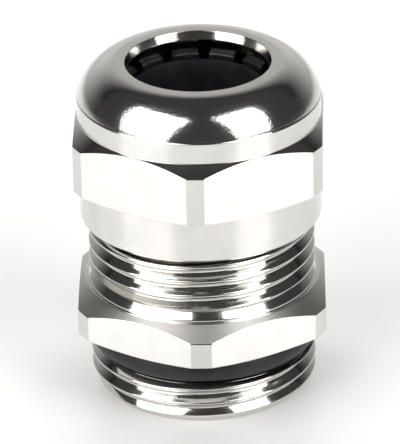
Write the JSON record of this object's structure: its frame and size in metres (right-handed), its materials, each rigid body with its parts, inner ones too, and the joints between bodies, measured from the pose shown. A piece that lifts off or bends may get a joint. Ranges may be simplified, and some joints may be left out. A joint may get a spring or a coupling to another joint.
{
  "type": "cable gland",
  "caption": "Domed metal cable gland with a hexagon cap nut, hexagon body, fine entry and cap threads, clamping fingers, a rubber seal and an O-ring.",
  "frame": {"origin": "centre of the bottom end face of the entry thread", "axes": "+Z along the cable towards the domed cap nut, -Y towards a corner of both hexagons, give or take 2.4 degrees"},
  "size_m": [0.0224, 0.0246, 0.0311],
  "materials": {
    "nickel": "bright nickel plating over brass, with fine turning marks",
    "nylon": "black moulded nylon, satin",
    "rubber": "black rubber, matt"
  },
  "bodies": {
    "gland_body": {"gland_body": "nickel", "o_ring": "rubber"},
    "clamping_insert": {"claw_ring": "nylon", "sealing_insert": "rubber"},
    "cap_nut": {"cap_nut": "nickel"},
    "finger_01": {"claw_finger_01": "nylon"},
    "finger_02": {"claw_finger_02": "nylon"},
    "finger_03": {"claw_finger_03": "nylon"},
    "finger_04": {"claw_finger_04": "nylon"},
    "finger_05": {"claw_finger_05": "nylon"},
    "finger_06": {"claw_finger_06": "nylon"},
    "finger_07": {"claw_finger_07": "nylon"},
    "finger_08": {"claw_finger_08": "nylon"},
    "finger_09": {"claw_finger_09": "nylon"},
    "finger_10": {"claw_finger_10": "nylon"},
    "finger_11": {"claw_finger_11": "nylon"},
    "finger_12": {"claw_finger_12": "nylon"}
  },
  "joints": [
    {"name": "nut_turn", "type": "hinge", "parent": "gland_body", "child": "clamping_insert", "pos_m": [0, 0, 0.0125], "axis": [0, 0, 1], "range_deg": [-720, 540], "deforming": ["sealing_insert"]},
    {"name": "nut_travel", "type": "slide", "parent": "clamping_insert", "child": "cap_nut", "axis": [0, 0, 1], "range_m": [-0.00282, 0.00212]},
    {"name": "finger_01_bend", "type": "hinge", "parent": "clamping_insert", "child": "finger_01", "pos_m": [0.00773, 0.00136, 0.0195], "axis": [0.1736, -0.9848, 0], "range_deg": [-6.8, 9.05]},
    {"name": "finger_02_bend", "type": "hinge", "parent": "clamping_insert", "child": "finger_02", "pos_m": [0.00601, 0.00505, 0.0195], "axis": [0.6428, -0.766, 0], "range_deg": [-6.8, 9.05]},
    {"name": "finger_03_bend", "type": "hinge", "parent": "clamping_insert", "child": "finger_03", "pos_m": [0.00268, 0.00738, 0.0195], "axis": [0.9397, -0.342, 0], "range_deg": [-6.8, 9.05]},
    {"name": "finger_04_bend", "type": "hinge", "parent": "clamping_insert", "child": "finger_04", "pos_m": [-0.00136, 0.00773, 0.0195], "axis": [0.9848, 0.1736, 0], "range_deg": [-6.8, 9.05]},
    {"name": "finger_05_bend", "type": "hinge", "parent": "clamping_insert", "child": "finger_05", "pos_m": [-0.00505, 0.00601, 0.0195], "axis": [0.766, 0.6428, 0], "range_deg": [-6.8, 9.05]},
    {"name": "finger_06_bend", "type": "hinge", "parent": "clamping_insert", "child": "finger_06", "pos_m": [-0.00738, 0.00268, 0.0195], "axis": [0.342, 0.9397, 0], "range_deg": [-6.8, 9.05]},
    {"name": "finger_07_bend", "type": "hinge", "parent": "clamping_insert", "child": "finger_07", "pos_m": [-0.00773, -0.00136, 0.0195], "axis": [-0.1736, 0.9848, 0], "range_deg": [-6.8, 9.05]},
    {"name": "finger_08_bend", "type": "hinge", "parent": "clamping_insert", "child": "finger_08", "pos_m": [-0.00601, -0.00505, 0.0195], "axis": [-0.6428, 0.766, 0], "range_deg": [-6.8, 9.05]},
    {"name": "finger_09_bend", "type": "hinge", "parent": "clamping_insert", "child": "finger_09", "pos_m": [-0.00268, -0.00738, 0.0195], "axis": [-0.9397, 0.342, 0], "range_deg": [-6.8, 9.05]},
    {"name": "finger_10_bend", "type": "hinge", "parent": "clamping_insert", "child": "finger_10", "pos_m": [0.00136, -0.00773, 0.0195], "axis": [-0.9848, -0.1736, 0], "range_deg": [-6.8, 9.05]},
    {"name": "finger_11_bend", "type": "hinge", "parent": "clamping_insert", "child": "finger_11", "pos_m": [0.00505, -0.00601, 0.0195], "axis": [-0.766, -0.6428, 0], "range_deg": [-6.8, 9.05]},
    {"name": "finger_12_bend", "type": "hinge", "parent": "clamping_insert", "child": "finger_12", "pos_m": [0.00738, -0.00268, 0.0195], "axis": [-0.342, -0.9397, 0], "range_deg": [-6.8, 9.05]}
  ],
  "couplings": [
    {"joint": "nut_travel", "follows": "nut_turn", "m_per_rad": 0.00022458},
    {"joint": "finger_01_bend", "follows": "nut_turn", "ratio": -0.0125},
    {"joint": "finger_02_bend", "follows": "nut_turn", "ratio": -0.0125},
    {"joint": "finger_03_bend", "follows": "nut_turn", "ratio": -0.0125},
    {"joint": "finger_04_bend", "follows": "nut_turn", "ratio": -0.0125},
    {"joint": "finger_05_bend", "follows": "nut_turn", "ratio": -0.0125},
    {"joint": "finger_06_bend", "follows": "nut_turn", "ratio": -0.0125},
    {"joint": "finger_07_bend", "follows": "nut_turn", "ratio": -0.0125},
    {"joint": "finger_08_bend", "follows": "nut_turn", "ratio": -0.0125},
    {"joint": "finger_09_bend", "follows": "nut_turn", "ratio": -0.0125},
    {"joint": "finger_10_bend", "follows": "nut_turn", "ratio": -0.0125},
    {"joint": "finger_11_bend", "follows": "nut_turn", "ratio": -0.0125},
    {"joint": "finger_12_bend", "follows": "nut_turn", "ratio": -0.0125}
  ]
}
